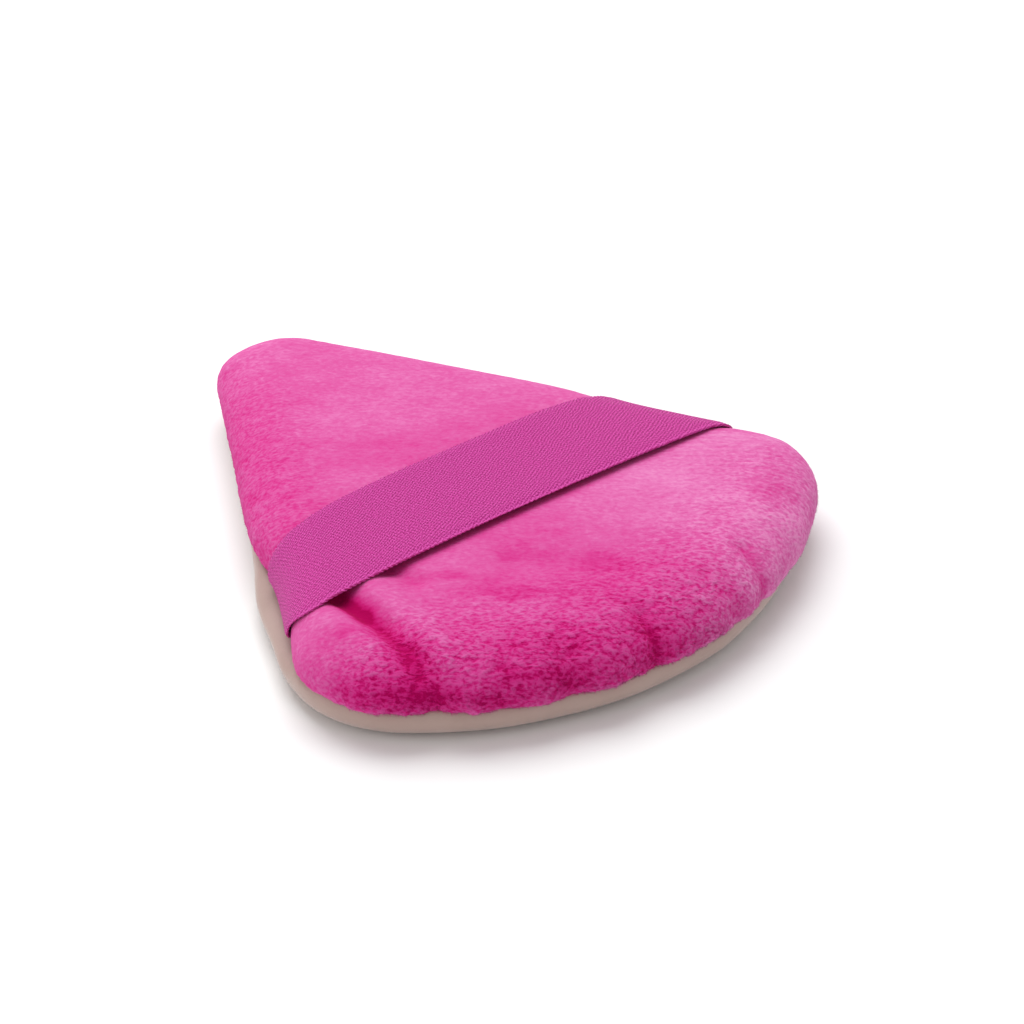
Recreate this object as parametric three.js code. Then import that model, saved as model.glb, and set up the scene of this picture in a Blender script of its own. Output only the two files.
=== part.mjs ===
// A powder puff: a slice-shaped pad with a gathered velour top, a smooth skin underneath and a
// ribbon across the top for the fingers. Millimetres, +Z up. The flat underside lies on Z = 0,
// the bowed front edge faces -Y, the tip points along +Y and the ribbon runs along X.

import * as THREE from 'three';

const { degToRad, radToDeg, lerp, smoothstep } = THREE.MathUtils;

// Plan of the puff, measured on the widest line of the velour's roll.
const puffLength = 81;
const puffWidth = 71;
const tipRadius = 8.5;
const cornerRadius = 15.5;
const frontRadius = 46;

// Layers, from the table up.
const skinThickness = 0.8;
const foamRimThickness = 0.85;
const velourThickness = 1;
const waddingThickness = 1.85;
const layerGap = 0.3;

// How the top is rounded: a roll along the rim, then a slight crown.
const rollDepth = 7;
const rollUnderHeight = 0.45;
const underRollShare = 0.3;
const crownRise = 0.9;
const crownCentreY = -8;
const crownHalfWidth = 42;
const crownHalfLength = 56;

// How the skin is rounded.
const skinInset = 0.4;
const skinBulgeHeight = 2.8;
const skinRounding = 4.2;

// Seam. The taut ribbon pulls it in at its two ends.
const seamDrawIn = 1.2;
const bandPull = 2.6;
const bandPullReach = 10;

// Gathers of the velour along the bowed front edge.
const gatherPitch = 10.75;
const gatherStart = -3;
const gatherDepth = 0.7;
const gatherReach = 9;
const gatherSpan = 46;

// The deep crease of the velour: from the ribbon's front edge, near its left end, to the front roll.
const creaseStartX = -25.5;
const creaseFromBand = 2.5;
const creaseEndX = -27.5;
const creaseEndFromFront = 7.5;
const creaseDepth = 1.1;
const creaseWidth = 2.8;

// The shallow dimple of the velour, in the middle of the front.
const dimpleStartX = -7.5;
const dimpleStartFromFront = 19;
const dimpleEndFromFront = 12.5;
const dimpleDepth = 0.35;
const dimpleWidth = 3.2;

// Ribbon. Its back edge stands a little higher than its front edge in the middle.
const bandWidth = 14;
const bandEndWidth = 12;
const bandCentreY = -7;
const bandEndShift = 0.8;
const bandThickness = 0.5;
const bandSlack = 0.6;
const bandTilt = 0.6;
const bandSeamFade = 4;
const bandUnderAngle = -40;
const bandLeaveAngle = 75;

// Threads.
const threadDiameter = 0.4;
const stitchLength = 4;
const stitchWave = 0.1;
const seamStitchInset = 2.4;
const bastingSpacing = 0.9;
const allowanceBeyondStitches = 0.7;
const closingLength = 24;
const closingFromTip = 22.5;
const closingWave = 0.25;

// Fineness of the surfaces.
const rimSteps = 78;
const bandLines = 5;
const bandCrownSteps = 14;
const threadSides = 5;

// Room that a thread takes on a layer: a clearance, the thread with its wave, and a clearance.
const threadRoom = 2 * layerGap + threadDiameter + 2 * stitchWave;

// The seam's own sizes: the ribbon's end between two clearances, and the edges turned inwards.
const bandSeamOpening = bandThickness + 2 * layerGap;
const seamAllowance = seamStitchInset + bastingSpacing + allowanceBeyondStitches;
const edgeInset = seamDrawIn + seamAllowance;

// Heights that follow from the stack of layers.
const foamInside = skinThickness + layerGap;
const foamShoulderLow = foamInside + foamRimThickness;
const seamHeight = foamShoulderLow + threadRoom + skinThickness + bandSeamOpening / 2;
const rollBulgeHeight = seamHeight + bandSeamOpening / 2 + rollUnderHeight;
const waddingBase = seamHeight + bandSeamOpening / 2 + velourThickness + threadRoom;
const waddingBelow = velourThickness + layerGap;
const rollRise = waddingBase + waddingThickness + waddingBelow - crownRise - rollBulgeHeight;

// The roll is no deeper than the tip leaves room for.
const rollReach = Math.min(rollDepth, tipRadius - velourThickness);

// The plan's circles: one for the tip, one for each front corner and one for the bowed front.
const frontY = -puffLength / 2;
const frontCentreY = frontY + frontRadius;
const tipCentreY = puffLength / 2 - tipRadius;
const cornerX = puffWidth / 2 - cornerRadius;
const cornerY = frontCentreY - Math.sqrt((frontRadius - cornerRadius) ** 2 - cornerX ** 2);
const cornerStart = Math.atan2(cornerY - frontCentreY, cornerX);
const cornerToTip = Math.hypot(cornerX, tipCentreY - cornerY);
const sideNormal = Math.atan2(tipCentreY - cornerY, -cornerX)
  - Math.acos((cornerRadius - tipRadius) / cornerToTip);

// The rim as one closed path, anticlockwise from the left end of the bowed front.
const rim = new THREE.Path();
rim.absarc(0, frontCentreY, frontRadius, -Math.PI - cornerStart, cornerStart);
rim.absarc(cornerX, cornerY, cornerRadius, cornerStart, sideNormal);
rim.absarc(0, tipCentreY, tipRadius, sideNormal, Math.PI - sideNormal);
rim.absarc(-cornerX, cornerY, cornerRadius, Math.PI - sideNormal, Math.PI - cornerStart);
const rimLength = rim.getLength();
const frontShare = (frontRadius * (Math.PI + 2 * cornerStart)) / rimLength;
const tipShare = (1 + frontShare) / 2;

function rimAt(share) {
  const wrapped = share - Math.floor(share);
  const point = rim.getPoint(wrapped);
  const tangent = rim.getTangent(wrapped);
  return { x: point.x, y: point.y, nx: tangent.y, ny: -tangent.x };
}

const rimSamples = Array.from({ length: rimSteps }, (_, i) => rimAt(i / rimSteps));

// The share of the rim at which its right-hand side passes a given Y.
function rightSideShare(y) {
  let low = frontShare;
  let high = tipShare;
  for (let i = 0; i < 40; i += 1) {
    const middle = (low + high) / 2;
    if (rimAt(middle).y < y) low = middle;
    else high = middle;
  }
  return low;
}

// How far the ribbon's pull draws the seam and the roll in from the rim.
const bandEndY = bandCentreY + bandEndShift;

function pullAt(y) {
  return bandPull * Math.exp(-(Math.abs((y - bandEndY) / bandPullReach) ** 3));
}

// Distance of a point in the plan from the rim, positive inside.
function insetAt(x, y) {
  const side = Math.abs(x);
  const toSide = cornerRadius
    - (side - cornerX) * Math.cos(sideNormal) - (y - cornerY) * Math.sin(sideNormal);
  const toFront = frontRadius - Math.hypot(side, y - frontCentreY);
  const atCorner = Math.atan2(y - cornerY, side - cornerX);
  const atTip = Math.atan2(y - tipCentreY, side);
  if (atCorner > cornerStart && atCorner < sideNormal) {
    return cornerRadius - Math.hypot(side - cornerX, y - cornerY);
  }
  if (atTip > sideNormal) return tipRadius - Math.hypot(side, y - tipCentreY);
  return Math.min(toSide, toFront);
}

// Height of the stuffed top, before its gathers and creases sink into it.
function topHeight(x, y) {
  const inset = insetAt(x, y);
  const pull = pullAt(y + inset * Math.sin(sideNormal));
  const across = Math.min(Math.max((inset - pull) / (rollReach - pull), 0), 1);
  const rounding = Math.sqrt(1 - (1 - across) ** 2);
  const bow = 1 - (x / crownHalfWidth) ** 2 - ((y - crownCentreY) / crownHalfLength) ** 2;
  return rollBulgeHeight + (rollRise + crownRise * bow) * rounding;
}

// How far a crease between two points of the plan sinks the top at a third point.
function creaseAt(crease, x, y) {
  const along = new THREE.Vector2().subVectors(crease.to, crease.from);
  const offset = new THREE.Vector2(x, y).sub(crease.from);
  const share = Math.min(Math.max(offset.dot(along) / along.lengthSq(), 0), 1);
  const away = offset.distanceTo(along.multiplyScalar(share));
  return crease.depth * Math.exp(-((away / crease.width) ** 2));
}

const creases = [
  {
    from: new THREE.Vector2(creaseStartX, bandCentreY - bandWidth / 2 - creaseFromBand),
    to: new THREE.Vector2(creaseEndX, frontY + creaseEndFromFront),
    depth: creaseDepth,
    width: creaseWidth,
  },
  {
    from: new THREE.Vector2(dimpleStartX, frontY + dimpleStartFromFront),
    to: new THREE.Vector2(0, frontY + dimpleEndFromFront),
    depth: dimpleDepth,
    width: dimpleWidth,
  },
];

// How far the gathers and creases sink below the smooth top, along the surface's own normal.
function foldDepth(x, y) {
  const along = frontRadius * Math.atan2(x, frontCentreY - y);
  const valley = Math.cos((Math.PI * (along - gatherStart)) / gatherPitch) ** 4;
  const fromMiddle = 1 - smoothstep(Math.abs(along), gatherSpan / 2, gatherSpan);
  const fromRim = 1 - smoothstep(insetAt(x, y), 0, gatherReach);
  const gathers = gatherDepth * valley * fromMiddle * fromRim;
  return creases.reduce((depth, crease) => depth + creaseAt(crease, x, y), gathers);
}

// The seam stands open by one clearance, and by the ribbon and two clearances at its ends.
function seamHalfOpening(y) {
  const beside = Math.abs(y - bandEndY) - bandEndWidth / 2 - 2 * layerGap;
  const atBand = 1 - smoothstep(beside, 0, bandSeamFade);
  return (layerGap + (bandThickness + layerGap) * atBand) / 2;
}

function velourEdge(y) {
  return seamHeight + seamHalfOpening(y);
}

function skinEdge(y) {
  return seamHeight - seamHalfOpening(y);
}

// A ring of points at one inset from the rim. Inset and height may depend on Y.
function ring(inset, height) {
  return rimSamples.map((sample) => new THREE.Vector3(
    sample.x - sample.nx * inset(sample.y),
    sample.y - sample.ny * inset(sample.y),
    height(sample.y),
  ));
}

// The same where the layers are sewn: the inset is measured from the pulled-in roll.
function sewnRing(inset, height) {
  return ring((y) => inset + pullAt(y), height);
}

// A ring on the rolled edge, at an angle up from its widest line and some way below its surface.
function rollRing(degrees, below) {
  const angle = degToRad(degrees);
  return rimSamples.map((sample) => {
    const inset = lerp(rollReach, pullAt(sample.y), Math.cos(angle));
    const x = sample.x - sample.nx * inset;
    const y = sample.y - sample.ny * inset;
    const sunk = below + foldDepth(x, y);
    return new THREE.Vector3(
      x - sample.nx * sunk * Math.cos(angle),
      y - sample.ny * sunk * Math.cos(angle),
      topHeight(x, y) - sunk * Math.sin(angle),
    );
  });
}

// A ring on the crown: the inner end of the roll, drawn in towards the crown's centre.
function crownRing(share, below) {
  return rollRing(90, 0).map((edge) => {
    const x = edge.x * share;
    const y = lerp(crownCentreY, edge.y, share);
    return new THREE.Vector3(x, y, topHeight(x, y) - foldDepth(x, y) - below);
  });
}

function crownCentre(below) {
  return new THREE.Vector3(0, crownCentreY, topHeight(0, crownCentreY) - below);
}

// A ring on the skin's rounded lower edge, at an angle down from its widest line and some way inside.
function skinLowerRing(degrees, inside) {
  const angle = degToRad(degrees);
  const inset = skinInset + skinRounding * (1 - Math.cos(angle)) + inside * Math.cos(angle);
  const height = skinBulgeHeight * (1 - Math.sin(angle)) + inside * Math.sin(angle);
  return ring(() => inset, () => height);
}

// A ring on the skin's outside between its widest line and the seam, at an angle up.
function skinUpperRing(degrees) {
  const angle = degToRad(degrees);
  return ring(
    (y) => lerp(seamDrawIn + pullAt(y), skinInset, Math.cos(angle)),
    (y) => lerp(skinBulgeHeight, skinEdge(y), Math.sin(angle)),
  );
}

// A closed solid from rings in order, each with the same number of points, between two end points.
function ringSolid(first, rings, last) {
  const points = [first, ...rings.flat(), last];
  const count = rings[0].length;
  const triangles = [];
  for (let i = 0; i < count; i += 1) {
    const next = (i + 1) % count;
    triangles.push(0, 1 + i, 1 + next);
    for (let r = 0; r + 1 < rings.length; r += 1) {
      const near = 1 + r * count;
      const far = near + count;
      triangles.push(near + i, far + i, far + next);
      triangles.push(near + i, far + next, near + next);
    }
    const lastRing = 1 + (rings.length - 1) * count;
    triangles.push(points.length - 1, lastRing + next, lastRing + i);
  }
  const geometry = new THREE.BufferGeometry().setFromPoints(points);
  geometry.setIndex(triangles);
  geometry.computeVertexNormals();
  return geometry;
}

// The velour: crown, roll, the lower edge drawn in to the seam, and the allowance turned inwards.
const velourInside = (y) => velourEdge(y) + velourThickness;

function underRollRing() {
  return rollRing(0, 0).map((edge, i) => {
    const sample = rimSamples[i];
    const inward = seamDrawIn * underRollShare;
    return new THREE.Vector3(
      edge.x - sample.nx * inward,
      edge.y - sample.ny * inward,
      (edge.z + velourEdge(sample.y)) / 2,
    );
  });
}

const velourGeometry = ringSolid(
  crownCentre(0),
  [
    crownRing(0.3, 0),
    crownRing(0.6, 0),
    crownRing(0.82, 0),
    rollRing(90, 0),
    rollRing(66, 0),
    rollRing(44, 0),
    rollRing(22, 0),
    rollRing(0, 0),
    underRollRing(),
    sewnRing(seamDrawIn, velourEdge),
    sewnRing(edgeInset, velourEdge),
    sewnRing(edgeInset, velourInside),
    sewnRing(seamDrawIn + velourThickness, velourInside),
    rollRing(44, velourThickness),
    rollRing(66, velourThickness),
    rollRing(90, velourThickness),
  ],
  crownCentre(velourThickness),
);

// The skin: inner floor and wall, the allowance turned inwards at the seam, outer wall and base.
const skinUnderEdge = (y) => skinEdge(y) - skinThickness;
const skinFloorInset = skinInset + skinRounding;

const skinGeometry = ringSolid(
  new THREE.Vector3(0, crownCentreY, skinThickness),
  [
    ring(() => skinFloorInset, () => skinThickness),
    skinLowerRing(55, skinThickness),
    skinLowerRing(20, skinThickness),
    ring(() => skinInset + 1.6 * skinThickness, skinUnderEdge),
    sewnRing(edgeInset, skinUnderEdge),
    sewnRing(edgeInset, skinEdge),
    skinUpperRing(90),
    skinUpperRing(50),
    skinUpperRing(20),
    skinLowerRing(10, 0),
    skinLowerRing(45, 0),
    skinLowerRing(67, 0),
    ring(() => skinFloorInset, () => 0),
  ],
  new THREE.Vector3(0, crownCentreY, 0),
);

// The wadding lies between the foam and the velour, above the seam's upper thread.
const waddingRim = layerGap;
const waddingRimSine = (waddingBase + waddingRim - rollBulgeHeight) / (rollRise - waddingBelow);
const waddingRimAngle = radToDeg(Math.asin(waddingRimSine));
const waddingRimInset = rollReach * (1 - Math.cos(degToRad(waddingRimAngle))) + waddingBelow;

const waddingGeometry = ringSolid(
  crownCentre(waddingBelow),
  [
    rollRing(90, waddingBelow),
    rollRing(66, waddingBelow),
    rollRing(waddingRimAngle, waddingBelow),
    sewnRing(waddingRimInset, () => waddingBase),
  ],
  new THREE.Vector3(0, crownCentreY, waddingBase),
);

// The foam fills the skin below the seam and rises through the seam's opening to the wadding.
const foamTop = waddingBase - layerGap;
const foamPlugInset = edgeInset + layerGap;
const foamShoulder = (y) => skinUnderEdge(y) - threadRoom;

const foamGeometry = ringSolid(
  new THREE.Vector3(0, crownCentreY, foamTop),
  [
    sewnRing(foamPlugInset, () => foamTop),
    sewnRing(foamPlugInset, foamShoulder),
    ring(() => skinInset + 2 * foamInside, foamShoulder),
    skinLowerRing(55, foamInside),
    ring(() => skinFloorInset, () => foamInside),
  ],
  new THREE.Vector3(0, crownCentreY, foamInside),
);

// The ribbon: a strip of lines along X. Each line runs from its sewn end over the roll to the other.
const bandRollAngles = [
  bandUnderAngle, 0, bandLeaveAngle / 3, (2 * bandLeaveAngle) / 3, bandLeaveAngle,
];

function bandLineY(line, spread) {
  const width = lerp(bandEndWidth, bandWidth, spread);
  const centre = lerp(bandEndY, bandCentreY, spread);
  return centre + width * (line / (bandLines - 1) - 0.5);
}

// The place on the right-hand side that has a given Y, at an inset that depends on the pull there.
function sideAt(y, insetFor) {
  let foot = rimAt(rightSideShare(y));
  for (let i = 0; i < 12; i += 1) {
    foot = rimAt(rightSideShare(y + foot.ny * insetFor(pullAt(foot.y))));
  }
  return { x: foot.x - foot.nx * insetFor(pullAt(foot.y)), nx: foot.nx, edge: velourEdge(foot.y) };
}

// A point of the right-hand sewn end, inside the seam.
function bandTailPoint(line, inset, above) {
  const y = bandLineY(line, 0);
  const side = sideAt(y, (pull) => pull + inset);
  return new THREE.Vector3(side.x, y, seamHeight - bandThickness / 2 + above);
}

// A point of the right-hand stretch that goes round the roll, some way out from the velour.
function bandRollPoint(line, degrees, above) {
  const y = bandLineY(line, smoothstep(degrees, 0, bandLeaveAngle));
  const angle = degToRad(degrees);
  const under = degrees < 0;
  const side = sideAt(y, (pull) => (
    under ? pull + seamDrawIn * underRollShare : lerp(rollReach, pull, Math.cos(angle))
  ));
  const height = under ? (rollBulgeHeight + side.edge) / 2 : topHeight(side.x, y);
  return new THREE.Vector3(
    side.x + (above * Math.cos(angle)) / side.nx,
    y,
    height + above * Math.sin(angle),
  );
}

// A point of the free stretch over the crown. The share runs from -1 at the left to 1 at the right.
function bandCrownPoint(line, share, above) {
  const end = bandRollPoint(line, bandLeaveAngle, above);
  const x = end.x * share;
  const middle = 1 - share ** 4;
  const lift = above + (bandSlack + bandTilt * (line / (bandLines - 1))) * middle;
  return new THREE.Vector3(x, end.y, topHeight(x, end.y) + lift);
}

function bandFace(line, above, tailAbove) {
  const rightEnd = [
    bandTailPoint(line, edgeInset, tailAbove),
    bandTailPoint(line, seamDrawIn, tailAbove),
    ...bandRollAngles.map((degrees) => bandRollPoint(line, degrees, above)),
  ];
  const leftEnd = rightEnd.map((point) => new THREE.Vector3(-point.x, point.y, point.z));
  const crown = [];
  for (let i = 1; i < bandCrownSteps; i += 1) {
    crown.push(bandCrownPoint(line, (2 * i) / bandCrownSteps - 1, above));
  }
  return [...leftEnd, ...crown, ...rightEnd.reverse()];
}

function bandGeometry() {
  const points = [];
  const lineIndexes = Array.from({ length: bandLines }, (_, line) => line);
  const outer = lineIndexes.map((line) => bandFace(line, layerGap + bandThickness, 0));
  const inner = lineIndexes.map((line) => bandFace(line, layerGap, bandThickness));
  const stations = outer[0].length;
  for (const face of [outer, inner]) {
    for (const line of face) points.push(...line);
  }
  const at = (face, line, station) => (face * bandLines + line) * stations + station;
  const triangles = [];
  const quad = (a, b, c, d) => triangles.push(a, b, c, a, c, d);
  const lastLine = bandLines - 1;
  const lastStation = stations - 1;
  for (let s = 0; s < lastStation; s += 1) {
    for (let l = 0; l < lastLine; l += 1) {
      quad(at(0, l, s), at(0, l, s + 1), at(0, l + 1, s + 1), at(0, l + 1, s));
      quad(at(1, l, s), at(1, l + 1, s), at(1, l + 1, s + 1), at(1, l, s + 1));
    }
    quad(at(1, 0, s), at(1, 0, s + 1), at(0, 0, s + 1), at(0, 0, s));
    quad(at(0, lastLine, s), at(0, lastLine, s + 1), at(1, lastLine, s + 1), at(1, lastLine, s));
  }
  for (let l = 0; l < lastLine; l += 1) {
    quad(at(0, l, 0), at(0, l + 1, 0), at(1, l + 1, 0), at(1, l, 0));
    quad(
      at(1, l, lastStation), at(1, l + 1, lastStation),
      at(0, l + 1, lastStation), at(0, l, lastStation),
    );
  }
  const geometry = new THREE.BufferGeometry().setFromPoints(points);
  geometry.setIndex(triangles);
  geometry.computeVertexNormals();
  return geometry;
}

// A row of stitches along part of the rim, waving up and down once a stitch.
class StitchRow extends THREE.Curve {
  constructor(startShare, endShare, inset, height, wave) {
    super();
    this.startShare = startShare;
    this.endShare = endShare;
    this.inset = inset;
    this.height = height;
    this.wave = wave;
    this.stitches = Math.round(((endShare - startShare) * rimLength) / stitchLength);
  }

  getPoint(t) {
    const at = rimAt(lerp(this.startShare, this.endShare, t));
    const inset = this.inset + pullAt(at.y);
    return new THREE.Vector3(
      at.x - at.nx * inset,
      at.y - at.ny * inset,
      this.height(at.y) + this.wave * Math.cos(2 * Math.PI * this.stitches * t),
    );
  }
}

function threadGeometry(row) {
  const section = new THREE.Shape();
  for (let i = 0; i < threadSides; i += 1) {
    const angle = (2 * Math.PI * i) / threadSides;
    const x = (threadDiameter / 2) * Math.cos(angle);
    const y = (threadDiameter / 2) * Math.sin(angle);
    if (i === 0) section.moveTo(x, y);
    else section.lineTo(x, y);
  }
  section.closePath();
  return new THREE.ExtrudeGeometry(section, { steps: 2 * row.stitches, extrudePath: row });
}

// The machine seam stops at both ends of the turning gap, which is closed by hand.
const closingShare = closingLength / rimLength;
const closingStart = rightSideShare(puffLength / 2 - closingFromTip) - closingShare / 2;
const closingEnd = closingStart + closingShare;
const threadOffset = layerGap + threadDiameter / 2 + stitchWave;
const seamStitches = seamDrawIn + seamStitchInset;

const needleRow = new StitchRow(
  closingEnd, closingStart + 1, seamStitches, (y) => velourInside(y) + threadOffset, stitchWave,
);
const bobbinRow = new StitchRow(
  closingEnd, closingStart + 1, seamStitches, (y) => skinUnderEdge(y) - threadOffset, stitchWave,
);
const closingRow = new StitchRow(
  closingStart, closingEnd, seamDrawIn - layerGap - threadDiameter - closingWave,
  () => seamHeight, closingWave,
);

function bastingRow(side) {
  const front = rightSideShare(bandEndY - bandEndWidth / 2);
  const back = rightSideShare(bandEndY + bandEndWidth / 2);
  const start = side > 0 ? front : frontShare - back;
  const end = side > 0 ? back : frontShare - front;
  return new StitchRow(
    start, end, seamStitches + bastingSpacing, (y) => velourInside(y) + threadOffset, stitchWave,
  );
}

function cloth(color, roughness) {
  return new THREE.MeshStandardMaterial({ color, roughness, metalness: 0 });
}

function piece(name, geometry, material) {
  const mesh = new THREE.Mesh(geometry, material);
  mesh.name = name;
  return mesh;
}

const pad = new THREE.Group();
pad.add(
  piece('velour_cover', velourGeometry, cloth(0xe55fa9, 0.95)),
  piece('base_skin', skinGeometry, cloth(0xd2bbb2, 0.7)),
  piece('foam_core', foamGeometry, cloth(0xf1e7cf, 1)),
  piece('wadding_pad', waddingGeometry, cloth(0xf6f4f0, 1)),
);

const sewing = new THREE.Group();
sewing.add(
  piece('seam_needle_thread', threadGeometry(needleRow), cloth(0xd0559f, 0.8)),
  piece('seam_bobbin_thread', threadGeometry(bobbinRow), cloth(0xd8c6bd, 0.8)),
  piece('band_basting_left', threadGeometry(bastingRow(-1)), cloth(0xc04a96, 0.8)),
  piece('band_basting_right', threadGeometry(bastingRow(1)), cloth(0xc04a96, 0.8)),
  piece('closing_thread', threadGeometry(closingRow), cloth(0xd0559f, 0.8)),
);

const puff = new THREE.Group();
puff.add(pad, sewing, piece('finger_band', bandGeometry(), cloth(0xc24a99, 0.85)));

export default puff;
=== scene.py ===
import bpy
import numpy as np
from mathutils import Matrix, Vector


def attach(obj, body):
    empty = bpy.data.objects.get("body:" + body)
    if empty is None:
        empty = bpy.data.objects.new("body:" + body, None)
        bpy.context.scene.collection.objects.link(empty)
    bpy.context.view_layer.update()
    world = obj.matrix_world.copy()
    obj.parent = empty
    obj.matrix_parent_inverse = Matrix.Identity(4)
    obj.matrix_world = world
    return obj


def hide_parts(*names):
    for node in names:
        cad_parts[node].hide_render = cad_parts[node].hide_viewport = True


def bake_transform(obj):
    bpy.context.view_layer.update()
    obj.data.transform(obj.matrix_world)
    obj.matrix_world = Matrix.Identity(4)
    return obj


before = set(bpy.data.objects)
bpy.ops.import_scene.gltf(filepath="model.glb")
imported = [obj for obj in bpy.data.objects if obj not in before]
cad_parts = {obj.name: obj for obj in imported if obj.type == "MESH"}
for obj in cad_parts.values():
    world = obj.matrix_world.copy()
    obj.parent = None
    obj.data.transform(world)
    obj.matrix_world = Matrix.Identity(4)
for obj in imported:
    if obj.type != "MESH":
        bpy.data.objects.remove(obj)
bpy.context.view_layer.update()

# The skin: one sheet of soft, matt synthetic leather in pale beige, cut to the puff's plan. It is
# stretched over the sponge, and its edge is turned inwards and sewn to the velour's edge.
MM = 0.001  # sizes are in millimetres, and every mesh is made in metres
puff_length, puff_width = 81.0, 71.0
tip_radius, corner_radius, front_radius = 8.5, 15.5, 46.0
front_centre_y = front_radius - puff_length / 2
tip_centre_y = puff_length / 2 - tip_radius
corner_x = puff_width / 2 - corner_radius
corner_y = front_centre_y - np.sqrt((front_radius - corner_radius) ** 2 - corner_x**2)
front_end = np.arctan2(corner_y - front_centre_y, corner_x)
side_angle = np.arctan2(tip_centre_y - corner_y, -corner_x) - np.arccos(
    (corner_radius - tip_radius) / np.hypot(corner_x, tip_centre_y - corner_y)
)


rim_arc_points = 400


def rim_arc(x, y, radius, start, end):
    angle = np.linspace(start, end, rim_arc_points)
    return np.stack([x + radius * np.cos(angle), y + radius * np.sin(angle), angle], 1)


rim_path = np.concatenate([
    rim_arc(0, front_centre_y, front_radius, -np.pi - front_end, front_end),
    rim_arc(corner_x, corner_y, corner_radius, front_end, side_angle),
    rim_arc(0, tip_centre_y, tip_radius, side_angle, np.pi - side_angle),
    rim_arc(-corner_x, corner_y, corner_radius, np.pi - side_angle, np.pi - front_end),
])
rim_steps = np.hypot(*np.diff(rim_path[:, :2], axis=0).T)
rim_travel = np.concatenate([[0], np.cumsum(rim_steps)])
rim_length = rim_travel[-1]


def rim_at(share):
    """X, Y and the outward direction on the rim, anticlockwise from the left end of the front."""
    travel = np.mod(share, 1) * rim_length
    x, y, angle = (np.interp(travel, rim_travel, column) for column in rim_path.T)
    return x, y, np.cos(angle), np.sin(angle)


band_end_y, band_pull, band_pull_reach = -6.2, 2.6, 10.0


def pull_at(y):
    """How far the taut ribbon draws the seam in, near its two ends."""
    return band_pull * np.exp(-np.abs((y - band_end_y) / band_pull_reach) ** 3)


band_end_width, band_thickness, layer_gap, band_seam_fade = 12.0, 0.5, 0.3, 4.0


def smooth(value, low, high):
    share = np.clip((value - low) / (high - low), 0, 1)
    return share * share * (3 - 2 * share)


def seam_half_opening(y):
    beside = np.abs(y - band_end_y) - band_end_width / 2 - 2 * layer_gap
    at_band = 1 - smooth(beside, 0, band_seam_fade)
    return (layer_gap + (band_thickness + layer_gap) * at_band) / 2


def ring_at(rim, inset, height):
    x, y, nx, ny = rim
    return np.stack([x - nx * inset, y - ny * inset, height + 0 * x], 1)


def patchy(points, pitch, seed):
    """Smooth random values from -1 to 1 that change over about one pitch."""
    cells = 32
    table = np.random.default_rng(seed).uniform(-1, 1, (cells, cells, cells))
    at = points / pitch
    low = np.floor(at).astype(int)
    part = at - low
    part = part * part * (3 - 2 * part)
    total = np.zeros(len(points))
    for corner in np.ndindex(2, 2, 2):
        weight = np.where(corner, part, 1 - part).prod(1)
        cell = (low + corner) % cells
        total += weight * table[cell[:, 0], cell[:, 1], cell[:, 2]]
    return total


def loft(name, first, rings, last):
    """A closed body through rings with as many points each, from one end point to the other."""
    rings = np.asarray(rings)
    count, around = rings.shape[:2]
    points = np.concatenate([[first], rings.reshape(-1, 3), [last]]) * MM
    here = np.arange(around)
    after = (here + 1) % around
    start = 1 + around * np.arange(count - 1)[:, None]
    far = start + around
    walls = np.stack([start + here, far + here, far + after, start + after], -1).reshape(-1, 4)
    cap = np.stack([0 * here, 1 + here, 1 + after], 1)
    end = 1 + around * (count - 1)
    floor = np.stack([0 * here + len(points) - 1, end + after, end + here], 1)
    return body(name, points, [*walls.tolist(), *cap.tolist(), *floor.tolist()])


def body(name, points, faces):
    mesh = bpy.data.meshes.new(name)
    mesh.from_pydata(points.tolist(), [], faces)
    mesh.shade_smooth()
    piece = bpy.data.objects.new(name, mesh)
    bpy.context.collection.objects.link(piece)
    return piece


def finish(name, values):
    """A new material, and its shader with the values that are the same all over."""
    material = bpy.data.materials.new(name)
    material.use_nodes = True
    shader = material.node_tree.nodes["Principled BSDF"]
    for socket, value in values.items():
        shader.inputs[socket].default_value = value
    return material, shader


def wire(material, kind, inputs, **settings):
    """A new node. Each input is a number, a colour or another node's output."""
    node = material.node_tree.nodes.new(kind)
    for name, value in settings.items():
        setattr(node, name, value)
    for name, value in inputs.items():
        if isinstance(value, bpy.types.NodeSocket):
            material.node_tree.links.new(value, node.inputs[name])
        else:
            node.inputs[name].default_value = value
    return node


def shades(material, factor, stops):
    """Colours along a scale from 0 to 1."""
    ramp = wire(material, "ShaderNodeValToRGB", {"Fac": factor})
    ramp.color_ramp.elements[0].position, ramp.color_ramp.elements[0].color = stops[0]
    ramp.color_ramp.elements[1].position, ramp.color_ramp.elements[1].color = stops[-1]
    for place, colour in stops[1:-1]:
        ramp.color_ramp.elements.new(place).color = colour
    return ramp.outputs["Color"]


def rough_by(material, shader, height, strength, distance):
    bump = wire(
        material, "ShaderNodeBump", {"Strength": strength, "Distance": distance, "Height": height}
    )
    material.node_tree.links.new(bump.outputs["Normal"], shader.inputs["Normal"])


seam_height, seam_draw_in, edge_inset = 4.5, 1.2, 5.2
skin_thickness, skin_inset, skin_bulge_height, skin_rounding = 0.8, 0.4, 2.8, 4.2
skin_columns, skin_turn_step = 420, 7.5
crown_centre_y = -8.0
skin_rim = rim_at(np.arange(skin_columns) / skin_columns)
skin_pull = pull_at(skin_rim[1])
skin_edge = seam_height - seam_half_opening(skin_rim[1])


def skin_lower(degrees, inside):
    turn = np.radians(degrees)
    inset = skin_inset + skin_rounding * (1 - np.cos(turn)) + inside * np.cos(turn)
    return ring_at(skin_rim, inset, skin_bulge_height * (1 - np.sin(turn)) + inside * np.sin(turn))


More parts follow.
